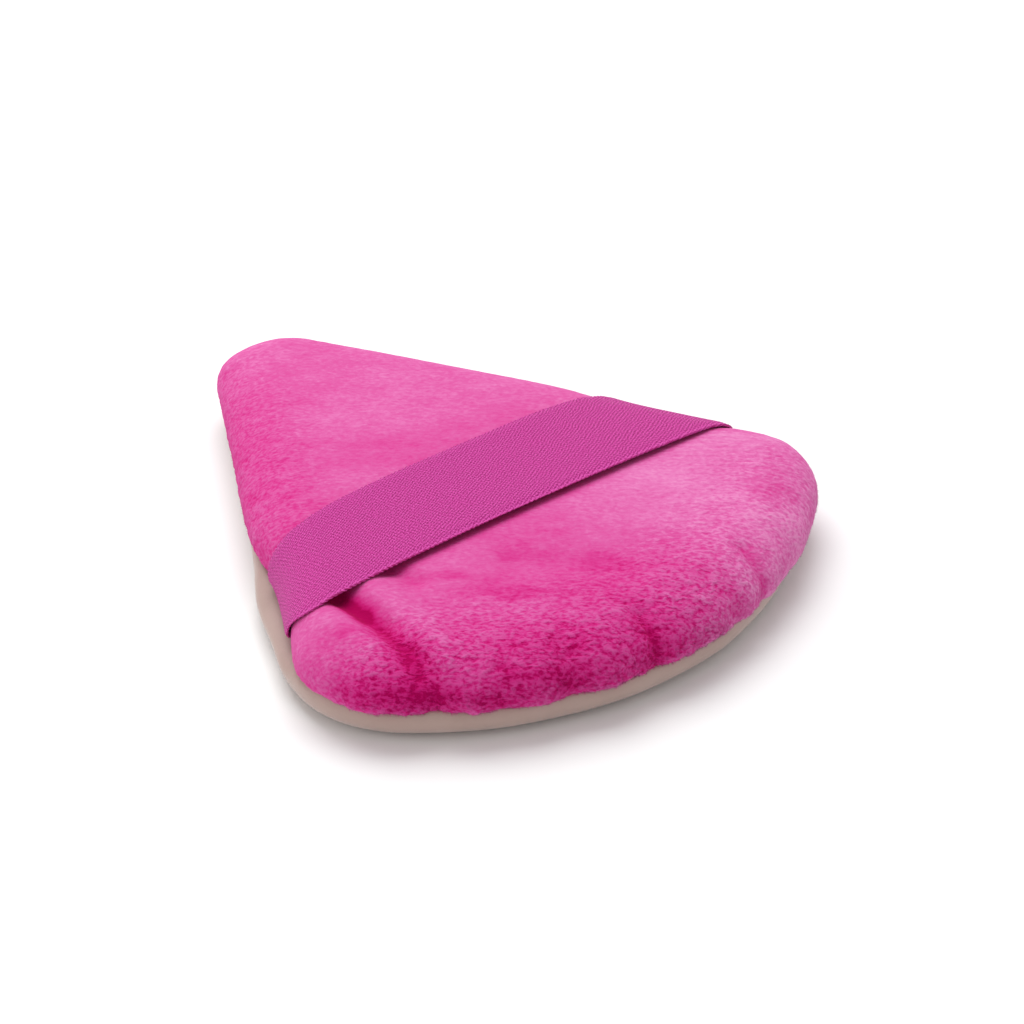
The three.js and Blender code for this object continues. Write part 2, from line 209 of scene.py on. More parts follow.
def skin_upper(degrees):
    turn = np.radians(degrees)
    sewn = seam_draw_in + skin_pull
    inset = sewn + (skin_inset - sewn) * np.cos(turn)
    return ring_at(skin_rim, inset, skin_bulge_height + (skin_edge - skin_bulge_height) * np.sin(turn))


skin_floor_inset = skin_inset + skin_rounding
skin_floor = ring_at(skin_rim, skin_floor_inset, 0)
skin_middle = np.array([0, crown_centre_y, 0])
skin_lining = [
    *(skin_middle + (skin_floor - skin_middle) * share + [0, 0, skin_thickness] for share in (0.5, 0.97)),
    *(skin_lower(degrees, skin_thickness) for degrees in (80, 55, 35, 20)),
    ring_at(skin_rim, skin_inset + 1.6 * skin_thickness, skin_edge - skin_thickness),
    ring_at(skin_rim, edge_inset + skin_pull, skin_edge - skin_thickness),
    ring_at(skin_rim, edge_inset + skin_pull, skin_edge),
]
skin_wall = np.array([
    *(skin_upper(degrees) for degrees in np.arange(90, 0, -skin_turn_step)),
    *(skin_lower(degrees, 0) for degrees in np.arange(0, 90, skin_turn_step)),
])
skin_underside = [skin_middle + (skin_floor - skin_middle) * share for share in (1, 0.9, 0.7, 0.4, 0.15)]


def swell(place, middle, reach):
    """1 in the middle, falling away smoothly to both sides."""
    return np.exp(-(((place - middle) / reach) ** 2))


# The wall is a little slack: it bulges below the ribbon's ends, is dented before the left one and is drawn
# in at the front right.
skin_ripple, skin_ripple_pitch, skin_pucker, skin_pucker_pitch = 0.16, 7.0, 0.05, 2.5
skin_bulge, skin_bulge_y, skin_dent, skin_dent_y, skin_slack_reach = 0.6, -1.0, 0.45, -14.0, 6.0
skin_draw_in, skin_draw_in_facing, skin_draw_in_spread = 0.9, -0.75, 0.4
skin_slack_height = 4.4
skin_points = skin_wall.reshape(-1, 3)
skin_facing = np.tile(np.arctan2(skin_rim[3], skin_rim[2]), len(skin_wall))
skin_wave = (
    skin_ripple * patchy(skin_points * [1, 1, 0.5], skin_ripple_pitch, 3)
    + skin_pucker * patchy(skin_points, skin_pucker_pitch, 4)
    + skin_bulge * swell(skin_points[:, 1], skin_bulge_y, skin_slack_reach)
    - skin_dent * swell(skin_points[:, 1], skin_dent_y, skin_slack_reach) * (skin_points[:, 0] < 0)
    - skin_draw_in * swell(skin_facing, skin_draw_in_facing, skin_draw_in_spread)
)
skin_slack = np.sin(np.pi * np.clip(skin_points[:, 2] / skin_slack_height, 0, 1))
skin_out = np.tile(np.stack([skin_rim[2], skin_rim[3], 0 * skin_rim[0]], 1), (len(skin_wall), 1))
skin_wall = skin_wall + (skin_out * (skin_wave * skin_slack)[:, None]).reshape(skin_wall.shape)
skin_rings = [*skin_lining, *skin_wall, *skin_underside]
skin = loft("skin_base", skin_middle + [0, 0, skin_thickness], skin_rings, skin_middle)

skin_finish, skin_shader = finish("beige_skin", {
    "Roughness": 0.52, "Specular IOR Level": 0.45, "Sheen Weight": 0.35, "Sheen Roughness": 0.5,
})
skin_place = wire(skin_finish, "ShaderNodeTexCoord", {}).outputs["Object"]
skin_mottle = wire(skin_finish, "ShaderNodeTexNoise", {
    "Vector": skin_place, "Scale": 160, "Detail": 5, "Roughness": 0.6,
}).outputs["Fac"]
skin_colour = shades(skin_finish, skin_mottle, [
    (0.25, (0.400, 0.276, 0.237, 1)), (0.5, (0.430, 0.303, 0.262, 1)), (0.78, (0.460, 0.330, 0.289, 1)),
])
skin_finish.node_tree.links.new(skin_colour, skin_shader.inputs["Base Color"])
skin_grain = wire(skin_finish, "ShaderNodeTexVoronoi", {
    "Vector": skin_place, "Scale": 3800, "Randomness": 1.0,
}, feature="SMOOTH_F1").outputs["Distance"]
rough_by(skin_finish, skin_shader, skin_grain, strength=0.25, distance=0.00006)
skin.data.materials.append(skin_finish)
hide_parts("base_skin")
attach(skin, "puff")

# The sponge: a pad of fine-celled foam that fills the skin and rises through the seam's opening. It is
# cut from a flat sheet, and only the skin around it holds it.
thread_room = 1.2
foam_gap = skin_thickness + layer_gap
wadding_base = 7.25
foam_columns, foam_bevel = 240, 0.5
foam_rim = rim_at(np.arange(foam_columns) / foam_columns)
foam_pull = pull_at(foam_rim[1])
foam_top = wadding_base - layer_gap
foam_plug_inset = edge_inset + layer_gap + foam_pull
foam_shoulder_inset = skin_inset + 2 * foam_gap
foam_shoulder = seam_height - seam_half_opening(foam_rim[1]) - skin_thickness - thread_room


def foam_lower(degrees):
    turn = np.radians(degrees)
    inset = skin_inset + skin_rounding * (1 - np.cos(turn)) + foam_gap * np.cos(turn)
    height = skin_bulge_height * (1 - np.sin(turn)) + foam_gap * np.sin(turn)
    return ring_at(foam_rim, inset, height)


foam_middle = np.array([0, crown_centre_y, foam_top])
foam_face = ring_at(foam_rim, foam_plug_inset + foam_bevel, foam_top)
foam_under = ring_at(foam_rim, skin_floor_inset, foam_gap)
foam_base = np.array([0, crown_centre_y, foam_gap])
foam_rings = np.array([
    *(foam_middle + (foam_face - foam_middle) * share for share in (0.06, 0.2, 0.35, 0.5, 0.65, 0.8, 0.9, 1)),
    ring_at(foam_rim, foam_plug_inset + 0.3 * foam_bevel, foam_top - 0.3 * foam_bevel),
    *(ring_at(foam_rim, foam_plug_inset, foam_top - drop) for drop in (foam_bevel, 1.5, 2.5, 3.5)),
    *(
        ring_at(foam_rim, foam_plug_inset + (foam_shoulder_inset - foam_plug_inset) * share, foam_shoulder)
        for share in (0, 0.5, 1)
    ),
    *(foam_lower(degrees) for degrees in (55, 70, 82)),
    *(foam_base + (foam_under - foam_base) * share for share in (1, 0.85, 0.65, 0.45, 0.25, 0.08)),
])
foam = loft("foam_sponge", foam_middle, foam_rings, foam_base)
foam_finish, foam_shader = finish("cream_sponge", {"Roughness": 0.95, "Specular IOR Level": 0.1})
foam_place = wire(foam_finish, "ShaderNodeTexCoord", {}).outputs["Object"]
foam_cells = wire(foam_finish, "ShaderNodeTexVoronoi", {
    "Vector": foam_place, "Scale": 2200,
}).outputs["Distance"]
# The cells are darkest in their middles: painted shade in the sponge's pores.
foam_colour = shades(foam_finish, foam_cells, [
    (0.0, (0.55, 0.47, 0.33, 1)), (0.35, (0.82, 0.75, 0.60, 1)), (0.8, (0.90, 0.85, 0.72, 1)),
])
foam_finish.node_tree.links.new(foam_colour, foam_shader.inputs["Base Color"])
rough_by(foam_finish, foam_shader, foam_cells, strength=0.6, distance=0.0002)
foam.data.materials.append(foam_finish)
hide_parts("foam_core")
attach(foam, "puff")

# The wadding: a loose pad of white polyester fibre on top of the sponge. It is laid in by hand, and
# gives the crown and the roll their soft, full shape under the velour.
velour_thickness = 1.0
tip_room = tip_radius - velour_thickness
roll_reach = min(7.0, tip_room)
roll_bulge_height, roll_rise, crown_rise = 5.5, 4.0, 0.9
crown_half_width, crown_half_length = 42.0, 56.0


def inset_at(x, y):
    """How far a point of the plan lies inside the rim."""
    side = np.abs(x)
    to_side = corner_radius - (side - corner_x) * np.cos(side_angle) - (y - corner_y) * np.sin(side_angle)
    to_front = front_radius - np.hypot(side, y - front_centre_y)
    at_corner = np.arctan2(y - corner_y, side - corner_x)
    at_tip = np.arctan2(y - tip_centre_y, side)
    return np.select(
        [(at_corner > front_end) & (at_corner < side_angle), at_tip > side_angle],
        [
            corner_radius - np.hypot(side - corner_x, y - corner_y),
            tip_radius - np.hypot(side, y - tip_centre_y),
        ],
        np.minimum(to_side, to_front),
    )


def top_rise(x, y):
    """How far the stuffed top rises above the roll's widest line, before its gathers and creases."""
    bow = 1 - (x / crown_half_width) ** 2 - ((y - crown_centre_y) / crown_half_length) ** 2
    return roll_rise + crown_rise * bow


def top_height(x, y):
    inset = inset_at(x, y)
    pull = pull_at(y + inset * np.sin(side_angle))
    across = np.clip((inset - pull) / (roll_reach - pull), 0, 1)
    return roll_bulge_height + top_rise(x, y) * np.sqrt(1 - (1 - across) ** 2)


gather_pitch, gather_start, gather_reach, gather_span, gather_fall = 10.75, -3.0, 9.0, 46.0, 0.7
# Each crease runs from one X and Y to another, with its depth and its width. A negative depth is a ridge.
dimple = ((-7.5, -21.5), (0.0, -28.0), 0.35, 3.2)
padding_creases = [((-26.0, -14.5), (-27.5, -33.0), 1.1, 2.8), dimple]


def crease_depth(x, y, creases):
    total = 0 * x
    for start, end, depth, width in creases:
        along = np.subtract(end, start)
        share = np.clip(((x - start[0]) * along[0] + (y - start[1]) * along[1]) / (along @ along), 0, 1)
        away = np.hypot(x - start[0] - share * along[0], y - start[1] - share * along[1])
        total = total + depth * swell(away, 0, width)
    return total


def gather_depth(x, y, sharpness):
    """The valleys between the puckers of the front, deepest at the seam."""
    along = front_radius * np.arctan2(x, front_centre_y - y)
    valley = np.abs(np.cos(np.pi * (along - gather_start) / gather_pitch)) ** sharpness
    from_middle = 1 - smooth(np.abs(along), gather_span / 2, gather_span)
    return gather_fall * valley * from_middle * (1 - smooth(inset_at(x, y), 0, gather_reach))


def roll_ring(rim, degrees, below, folds):
    """A ring on the rolled edge, at an angle up from its widest line and some way inside it."""
    turn = np.radians(degrees)
    pull = pull_at(rim[1])
    flat = ring_at(rim, roll_reach + (pull - roll_reach) * np.cos(turn), 0)
    sunk = below + folds(flat[:, 0], flat[:, 1])
    return np.stack([
        flat[:, 0] - rim[2] * sunk * np.cos(turn),
        flat[:, 1] - rim[3] * sunk * np.cos(turn),
        roll_bulge_height + (top_rise(flat[:, 0], flat[:, 1]) - sunk) * np.sin(turn),
    ], 1)


def crown_ring(rim, share, below, folds):
    edge = ring_at(rim, roll_reach, 0)
    x = edge[:, 0] * share
    y = crown_centre_y + (edge[:, 1] - crown_centre_y) * share
    return np.stack([x, y, top_height(x, y) - folds(x, y) - below], 1)


def plain_folds(x, y):
    return gather_depth(x, y, 4) + crease_depth(x, y, padding_creases)


wadding_below = velour_thickness + layer_gap
wadding_columns, wadding_crown_rows = 300, 24
wadding_edge_rise = wadding_base + layer_gap - roll_bulge_height
wadding_turn = np.degrees(np.arcsin(wadding_edge_rise / (roll_rise - wadding_below)))
wadding_rim = rim_at(np.arange(wadding_columns) / wadding_columns)
wadding_edge = roll_reach * (1 - np.cos(np.radians(wadding_turn))) + wadding_below
wadding_floor = ring_at(wadding_rim, wadding_edge + pull_at(wadding_rim[1]), wadding_base)
wadding_base_middle = np.array([0, crown_centre_y, wadding_base])
wadding_rings = np.array([
    *(
        crown_ring(wadding_rim, share, wadding_below, plain_folds)
        for share in np.linspace(0.03, 0.98, wadding_crown_rows)
    ),
    *(roll_ring(wadding_rim, turn, wadding_below, plain_folds) for turn in np.linspace(90, wadding_turn, 6)),
    *(
        wadding_base_middle + (wadding_floor - wadding_base_middle) * share
        for share in (1, 0.9, 0.75, 0.6, 0.4, 0.2, 0.05)
    ),
])
wadding_lump, wadding_lump_pitch, wadding_tuft, wadding_tuft_pitch, wadding_settle = 0.12, 3.0, 0.06, 1.1, 0.1
wadding_top = wadding_rings[:wadding_crown_rows].reshape(-1, 3)
wadding_lumps = (
    wadding_lump * patchy(wadding_top, wadding_lump_pitch, 11)
    + wadding_tuft * patchy(wadding_top, wadding_tuft_pitch, 12)
    - wadding_settle
)
wadding_rings[:wadding_crown_rows, :, 2] += wadding_lumps.reshape(wadding_crown_rows, -1)
wadding_crown = np.array([0, crown_centre_y, wadding_rings[0, :, 2].mean()])
wadding = loft("wadding_fibre", wadding_crown, wadding_rings, wadding_base_middle)
wadding_finish, wadding_shader = finish("white_wadding", {
    "Roughness": 1.0, "Specular IOR Level": 0.05, "Sheen Weight": 0.3,
})
wadding_place = wire(wadding_finish, "ShaderNodeTexCoord", {}).outputs["Object"]
wadding_strands = wire(wadding_finish, "ShaderNodeTexNoise", {
    "Vector": wadding_place, "Scale": 900, "Detail": 6, "Distortion": 2.5,
}).outputs["Fac"]
wadding_colour = shades(wadding_finish, wadding_strands, [
    (0.3, (0.74, 0.72, 0.69, 1)), (0.5, (0.87, 0.86, 0.84, 1)), (0.7, (0.94, 0.93, 0.91, 1)),
])
wadding_finish.node_tree.links.new(wadding_colour, wadding_shader.inputs["Base Color"])
rough_by(wadding_finish, wadding_shader, wadding_strands, strength=0.7, distance=0.0002)
wadding.data.materials.append(wadding_finish)
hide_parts("wadding_pad")
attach(wadding, "puff")

# The velour: a knitted cloth with a short cut pile, pink, cut larger than the plan. It is gathered into
# the front seam, so it rolls over the rim in puckers, and its edge is turned in and sewn to the skin.
band_width, band_centre_y, band_slack, band_tilt = 14.0, -7.0, 0.48, 0.6
band_leave_turn = 75.0
band_ends = {-1: (-5.5, 10.8), 1: (-6.5, 12.6)}  # Y and width of the sewn end on each side
crown_pile, back_pile, front_pile, corner_pile, tip_pile, hem_depth = 0.3, 0.1, 0.4, 0.9, 0.35, 0.35
fine_pucker, fine_pucker_pitch = 0.22, 3.1
velour_columns, velour_roll_rows, velour_crown_rows, velour_under_rows = 1000, 44, 118, 9
velour_share = np.linspace(0, 1, 4001)
velour_density = 0.55 + smooth(-rim_at(velour_share)[3], -0.3, 0.5)  # the columns stand closer at the front
velour_density = np.concatenate([[0], np.cumsum(velour_density[1:])])
velour_density = velour_density / velour_density[-1]
velour_rim = rim_at(np.interp(np.arange(velour_columns) / velour_columns, velour_density, velour_share))
velour_creases = [
    ((-26.5, -13.6), (-26.3, -20.5), 1.2, 1.75),  # the deep fold before the ribbon's left end
    ((-26.6, -23.0), (-27.4, -32.0), 0.8, 1.7),  # the same fold, running out over the roll
    ((-22.7, -13.4), (-24.2, -29.0), -0.45, 1.7),  # the ridge on its right
    ((-29.6, -13.6), (-30.2, -25.0), -0.25, 1.7),  # the ridge on its left
    ((-19.2, -13.4), (-18.4, -17.0), 0.55, 1.4),  # a short fold at the ribbon's front edge
    ((-3.4, -40.6), (-2.8, -37.0), 0.4, 1.3),  # two notches in the hem
    ((14.3, -38.4), (14.6, -34.6), 0.5, 1.2),
    dimple,
]
# Painted shade at the bottoms of the folds and notches, and two darker streaks on the crown. They are listed
# like the creases.
velour_shades_and_streaks = [
    ((-26.5, -13.0), (-26.4, -17.5), 0.75, 1.3),
    ((-26.3, -18.5), (-26.8, -27.0), 0.38, 1.5),
    ((-3.5, -40.6), (-3.2, -38.2), 0.18, 1.1),
    ((14.3, -38.2), (14.5, -35.0), 0.16, 1.0),
    ((-15.5, -22.6), (-10.5, -22.4), 0.12, 1.6),
    ((-1.5, -26.6), (0.5, -27.4), 0.12, 1.8),
]


def velour_folds(x, y):
    """The gathers and creases of the pile, sharper than those of the padding under it."""
    along = front_radius * np.arctan2(x, front_centre_y - y)
    fine = fine_pucker * patchy(np.stack([along, 0 * along + 3, 0 * along], 1), fine_pucker_pitch, 21)
    fade = (1 - smooth(inset_at(x, y), 0, 6.5)) * (1 - smooth(y, -26, -14))
    puckered = (1 - 0.75 * smooth(along, 2, 6)) * smooth(along, -22, -17)
    deep = gather_depth(x, y, 6) * puckered + crease_depth(x, y, velour_creases) + fine * fade
    return np.minimum(deep, plain_folds(x, y) + 0.8 * velour_thickness)


def velour_under(degrees):
    turn = np.radians(degrees)
    bulge = roll_ring(velour_rim, 0, 0, velour_folds)
    edge = seam_height + seam_half_opening(velour_rim[1])
    inward = seam_draw_in * (1 - np.cos(turn))
    drop = (bulge[:, 2] - edge) * np.sin(turn)
    out = np.stack([velour_rim[2] * inward, velour_rim[3] * inward, drop], 1)
    return bulge - out


velour_form = np.array([
    *(crown_ring(velour_rim, share, 0, velour_folds) for share in np.linspace(0, 1, velour_crown_rows)[1:-1]),
    *(roll_ring(velour_rim, turn, 0, velour_folds) for turn in np.linspace(90, 0, velour_roll_rows)),
    *(velour_under(turn) for turn in np.linspace(10, 90, velour_under_rows)),
])


def grid_normals(grid):
    down = np.gradient(grid, axis=0)
    around = np.roll(grid, -1, 1) - np.roll(grid, 1, 1)
    normal = np.cross(down, around)
    return normal / np.linalg.norm(normal, axis=2, keepdims=True)


velour_normal = grid_normals(velour_form)
velour_points = velour_form.reshape(-1, 3)
velour_rows = len(velour_form)
roll_share = np.zeros(velour_rows)
roll_share[velour_crown_rows - 2 :] = np.linspace(0, 1, velour_rows - velour_crown_rows + 2)
roll_share = np.repeat(smooth(roll_share, 0, 0.55), velour_columns)
front_share = np.tile(smooth(-velour_rim[3], -0.05, 0.75), velour_rows)
velour_facing = np.arctan2(velour_rim[3], velour_rim[2])
corner_share = np.tile(swell(velour_facing, -0.3, 0.5), velour_rows)
tip_share = np.tile(swell(velour_facing, 2.2, 0.35) * smooth(velour_rim[1], 25, 34), velour_rows)
velour_x, velour_y = velour_points[:, 0], velour_points[:, 1]
velour_inset = inset_at(velour_x, velour_y)


def before_ribbon(x, y, inset):
    """How far a point lies before the ribbon's front edge, and how far behind its rear edge."""
    pull = pull_at(y + inset * np.sin(side_angle))
    turn = np.degrees(np.arccos(np.clip((roll_reach - inset) / (roll_reach - pull), 0, 1)))
    spread = smooth(turn, 0, band_leave_turn)
    end_y, end_width = np.where(x < 0, *(np.array(band_ends[side])[:, None] for side in (-1, 1)))
    middle = end_y + (band_centre_y - end_y) * spread
    half = (end_width + (band_width - end_width) * spread) / 2
    return middle - half - y, y - middle - half


ribbon_front_gap, ribbon_rear_gap = before_ribbon(velour_x, velour_y, velour_inset)
ribbon_beside = np.maximum(ribbon_front_gap, ribbon_rear_gap)

# The pile stands in clumps along the front and, less so, along the left side. Its lie is combed one way.
left_clumps, right_thinning, combing = 0.45, 0.7, 0.85
left_share = 1 - smooth(velour_x, -16, 4)
near_front = np.maximum(roll_share, 1 - smooth(velour_inset, 2, 17))
near_left = np.maximum(roll_share, 1 - smooth(velour_inset, 1, 13))
clump_share = front_share * near_front * (1 - right_thinning * smooth(velour_x, 2, 20))
clump_share = np.maximum(clump_share, left_clumps * left_share * near_left)
combed = (1 - smooth(velour_x, -22, -8)) * smooth(-velour_y, 8, 13) * (1 - smooth(-velour_y, 16, 25))
clump_share = clump_share * (1 - combing * combed)
comb_angle, comb_stretch, comb_warp, row_pitch = np.radians(-38), 1.8, 0.45, 1.05
comb_along = np.array([np.cos(comb_angle), np.sin(comb_angle), 0])
comb_across = np.array([-np.sin(comb_angle), np.cos(comb_angle), 0])
warp = np.stack([patchy(velour_points, 1.9, seed) for seed in (31, 32, 33)], 1)
comb_points = velour_points + comb_warp * warp
comb_points = np.stack([
    comb_points @ comb_along / comb_stretch, comb_points @ comb_across, comb_points[:, 2],
], 1)
ripple = 0.7 * patchy(comb_points, 0.62, 35) + 0.5 * patchy(comb_points, 0.36, 36)
lay = patchy(comb_points, 4.5, 37) + 0.7 * patchy(comb_points, 1.6, 38)
row_place = velour_points @ comb_across - 0.9 * velour_points[:, 2] + 0.25 * patchy(velour_points, 4.0, 39)
rows = np.cos(2 * np.pi * row_place / row_pitch) * smooth(velour_x, 13, 27)
ripple_depth, clump_depth, lay_depth, row_depth = 0.03, 0.11, 0.03, 0.025
pile = (ripple_depth + clump_depth * clump_share) * ripple
pile = pile + lay_depth * lay * (1 - clump_share) + row_depth * rows
roll_pile = back_pile + (front_pile - back_pile) * front_share
roll_pile = roll_pile + corner_pile * corner_share + tip_pile * tip_share
pile = pile + crown_pile + (roll_pile - crown_pile) * roll_share

# Under the ribbon the pile is pressed flat, and keeps clear of it.
ribbon_loose_reach, press_share, room_share = 27.5, 0.9, 0.7
ribbon_lift = layer_gap + band_slack * (1 - np.clip(np.abs(velour_x) / ribbon_loose_reach, 0, 1) ** 4)
room = ribbon_lift + 4 * smooth(ribbon_beside, -0.4, 1.2)
pressed = 1 - smooth(ribbon_beside, -1.5, 1.4)
pile = np.minimum(pile * (1 - press_share * pressed), room_share * room)
row_fade = np.ones(velour_rows)
row_fade[-3:] = (0.8, 0.45, 0.0)
pile = pile * np.repeat(row_fade, velour_columns)
pile_grid = pile.reshape(velour_rows, velour_columns, 1)
velour_outside = velour_form + velour_normal * pile_grid
hem_rows = 14
hang = np.zeros(velour_rows)
hang[-hem_rows:] = np.sin(np.linspace(0, np.pi, hem_rows))
hang = np.repeat(hang, velour_columns)
velour_outside[..., 2] -= (hem_depth * hang * (1 + 0.5 * ripple)).reshape(velour_rows, velour_columns)

velour_edge = seam_height + seam_half_opening(velour_rim[1])
velour_pull = pull_at(velour_rim[1])
velour_inside = [
    ring_at(velour_rim, edge_inset + velour_pull, velour_edge),
    ring_at(velour_rim, edge_inset + velour_pull, velour_edge + velour_thickness),
    ring_at(velour_rim, seam_draw_in + velour_thickness + velour_pull, velour_edge + velour_thickness),
    *(roll_ring(velour_rim, turn, velour_thickness, plain_folds) for turn in (44, 66, 90)),
    *(crown_ring(velour_rim, share, velour_thickness, plain_folds) for share in (0.8, 0.5, 0.2)),
]
velour_top = np.array([0, crown_centre_y, velour_outside[0, :, 2].mean()])
velour_lining = np.array([0, crown_centre_y, velour_inside[-1][:, 2].mean()])
velour = loft("velour_top", velour_top, [*velour_outside, *velour_inside], velour_lining)


def tell(piece, name, values):
    """Keeps one number for each point of a mesh, for its material to read."""
    attribute = piece.data.attributes.new(name, "FLOAT", "POINT")
    attribute.data.foreach_set("value", np.asarray(values, np.float32))


# Tones run from 0, deep crimson, to 1, palest pink; they carry painted light and shade as well as dye.
crown_tone, middle_tone, inner_tone = 0.72, 0.7, 0.5
clump_dark, fold_dark, shadow_dark, slit_dark, low_dark = 0.18, 0.19, 0.87, 0.15, 0.11
right_light, back_light, hem_light, low_light, row_light, lay_light = 0.2, 0.06, 0.22, 0.19, 0.03, 0.06
ripple_shade_contrast, clump_shade_contrast, full_fold, flat_ruffle = 0.03, 0.09, 1.1, 0.22
inner_count = velour_columns * len(velour_inside) + 1
# Painted shade in the gathers and creases and at the fold bottoms listed above, and a little painted light on
# the ridges.
painted_fold_shade = np.clip(velour_folds(velour_x, velour_y) / full_fold, -0.3, 1)
shade_and_streak_tone = np.clip(crease_depth(velour_x, velour_y, velour_shades_and_streaks), 0, 1)
# A painted shadow along the ribbon's front edge, from under the ribbon to a little before it; none at the
# left end, in the deep fold or close to the seam.
slit_reach = 1.5 * smooth(velour_x, -25, -15)
ribbon_shade = 1 - smooth(ribbon_front_gap, slit_reach - 1.6, slit_reach)
ribbon_shade = ribbon_shade * smooth(ribbon_front_gap, -2.6, -1.2)
ribbon_shade = ribbon_shade * (1 - smooth(shade_and_streak_tone, 0.3, 0.6)) * smooth(velour_inset, 1.5, 4.0)
from_hem = velour_rows - np.arange(velour_rows)
# Painted light on the last rows of the hem, and painted shade lower down the front roll.
hem_painted_light = np.repeat(1 - smooth(from_hem, 6, 12), velour_columns)
low_roll_painted_shade = np.repeat(1 - smooth(from_hem, hem_rows, 44), velour_columns)
mottle = smooth(patchy(comb_points, 3.4, 40) + 0.5 * patchy(comb_points, 1.1, 41), 0, 1.1)
# Painted light on the right-hand part, fading towards the back and a little less at the far right, and a
# little painted light at the back of the crown.
right_painted_light = smooth(velour_x, -2, 20) * (1 - smooth(velour_y, -8, 6))
right_painted_light = right_painted_light * (1 - 0.35 * smooth(velour_x, 17, 27))
back_painted_light = smooth(velour_y, 2, 16) * smooth(velour_x, -14, 2)
# The painted shade low on the roll fades to the right, and turns to a little painted light at the far right.
low_shade = low_dark - low_light * smooth(velour_x, -8, 6)
mottle_dark = 0.035 + 0.087 * smooth(-velour_y, 14, 22) + 0.06 * left_share
# The tone follows the ripples: painted shade in their hollows and painted light on their tops, more so in the
# clumps.
tuft_tone_and_shading = crown_tone - clump_dark * clump_share + (ripple_shade_contrast + clump_shade_contrast * clump_share) * ripple
tuft_tone_and_shading = tuft_tone_and_shading + right_light * right_painted_light + back_light * back_painted_light
tuft_tone_and_shading = tuft_tone_and_shading - fold_dark * painted_fold_shade - shadow_dark * shade_and_streak_tone + row_light * rows
tuft_tone_and_shading = tuft_tone_and_shading + front_share * (hem_light * hem_painted_light - low_shade * low_roll_painted_shade)
tuft_tone_and_shading = tuft_tone_and_shading - slit_dark * ribbon_shade - mottle_dark * mottle
pile_ruffle = flat_ruffle + (1 - flat_ruffle) * clump_share
velour_tones = [middle_tone, *(tuft_tone_and_shading + lay_light * lay), *np.full(inner_count, inner_tone)]
tell(velour, "pile_tone_and_shading", velour_tones)
tell(velour, "pile_ruffle", [0, *pile_ruffle, *np.zeros(inner_count)])


streak_gain, streak_limit = 1.7, 0.11


def velour_dye(name):
    """Pink by the tone of the pile, painted light and shade included, with fine strands that show where it is
    ruffled.
    """
    material, shader = finish(name, {
        "Roughness": 0.95, "Specular IOR Level": 0.03, "Sheen Weight": 0.07,
        "Sheen Roughness": 0.4, "Sheen Tint": (1.0, 0.60, 0.85, 1),
    })
    place = wire(material, "ShaderNodeTexCoord", {}).outputs["Object"]
    place = wire(material, "ShaderNodeMapping", {
        "Vector": place, "Rotation": (0, 0, comb_angle), "Scale": (1.75, 1, 1),
    }, vector_type="TEXTURE").outputs["Vector"]
    tone = wire(material, "ShaderNodeAttribute", {}, attribute_name="pile_tone_and_shading").outputs["Fac"]
    ruffle = wire(material, "ShaderNodeAttribute", {}, attribute_name="pile_ruffle").outputs["Fac"]
    strands = wire(material, "ShaderNodeTexNoise", {
        "Vector": place, "Scale": 2600, "Detail": 2.5, "Roughness": 0.55, "Distortion": 0.2,
    }).outputs["Fac"]
    strands = wire(material, "ShaderNodeMath", {0: strands, 1: 0.5}, operation="SUBTRACT").outputs[0]
    strands = wire(material, "ShaderNodeMath", {0: strands, 1: ruffle}, operation="MULTIPLY").outputs[0]
    streaks = wire(material, "ShaderNodeMath", {0: strands, 1: streak_gain}, operation="MULTIPLY").outputs[0]
    streaks = wire(material, "ShaderNodeMath", {0: streaks, 1: streak_limit}, operation="MINIMUM").outputs[0]
    mixed = wire(material, "ShaderNodeMath", {0: streaks, 1: tone}, operation="ADD").outputs[0]
    dye = shades(material, mixed, [
        (0.1, (0.40, 0.001, 0.085, 1)),
        (0.21, (0.49, 0.004, 0.125, 1)),
        (0.37, (0.585, 0.017, 0.192, 1)),
        (0.55, (0.625, 0.048, 0.262, 1)),
        (0.74, (0.65, 0.102, 0.340, 1)),
        (0.87, (0.70, 0.170, 0.425, 1)),
        (1.0, (0.75, 0.250, 0.500, 1)),
    ])
    material.node_tree.links.new(dye, shader.inputs["Base Color"])
    rough_by(material, shader, strands, strength=0.85, distance=0.00035)
    return material


velour.data.materials.append(velour_dye("pink_velour"))
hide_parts("velour_cover")
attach(velour, "puff")

# The pile: loose cut fibres that stand out from the lower part of the velour's roll. They are part of the
# cloth, lean with its lie and hang a little over the seam.
fibre_count, fibre_width, fibre_sunk, short_fibre, clump_fibre = 14000, 0.05, 0.12, 0.3, 0.2
fibre_stand, clump_stand, clump_splay, fibre_droop, fibre_clear = 0.22, 0.5, 0.3, 0.2, 0.15
nap_lean, clump_lean, fibre_sway, fibre_scatter = 0.9, 0.35, 0.6, 0.3
root_shade, end_highlight, tone_scatter, fibre_ruffle = 0.05, 0.1, 0.05, 0.3
draw = np.random.default_rng(51)
fibre_down = np.gradient(velour_outside, axis=0)
fibre_around = 0.5 * (np.roll(velour_outside, -1, 1) - np.roll(velour_outside, 1, 1))
fibre_area = np.linalg.norm(np.cross(fibre_down, fibre_around), axis=2).ravel()
fibre_bare = 1 - smooth(0.55 - room, 0, 0.3)
fibre_rows = (1 - smooth(from_hem, 10, 26)) * (row_fade > 0.4)
fibre_odds = fibre_area * np.repeat(fibre_rows, velour_columns) * (0.15 + clump_share) * fibre_bare
fibre_root = draw.choice(len(fibre_odds), fibre_count, p=fibre_odds / fibre_odds.sum())
root_points = velour_outside.reshape(-1, 3)[fibre_root]
root_normal = grid_normals(velour_outside).reshape(-1, 3)[fibre_root]
base_normal = velour_normal.reshape(-1, 3)[fibre_root]
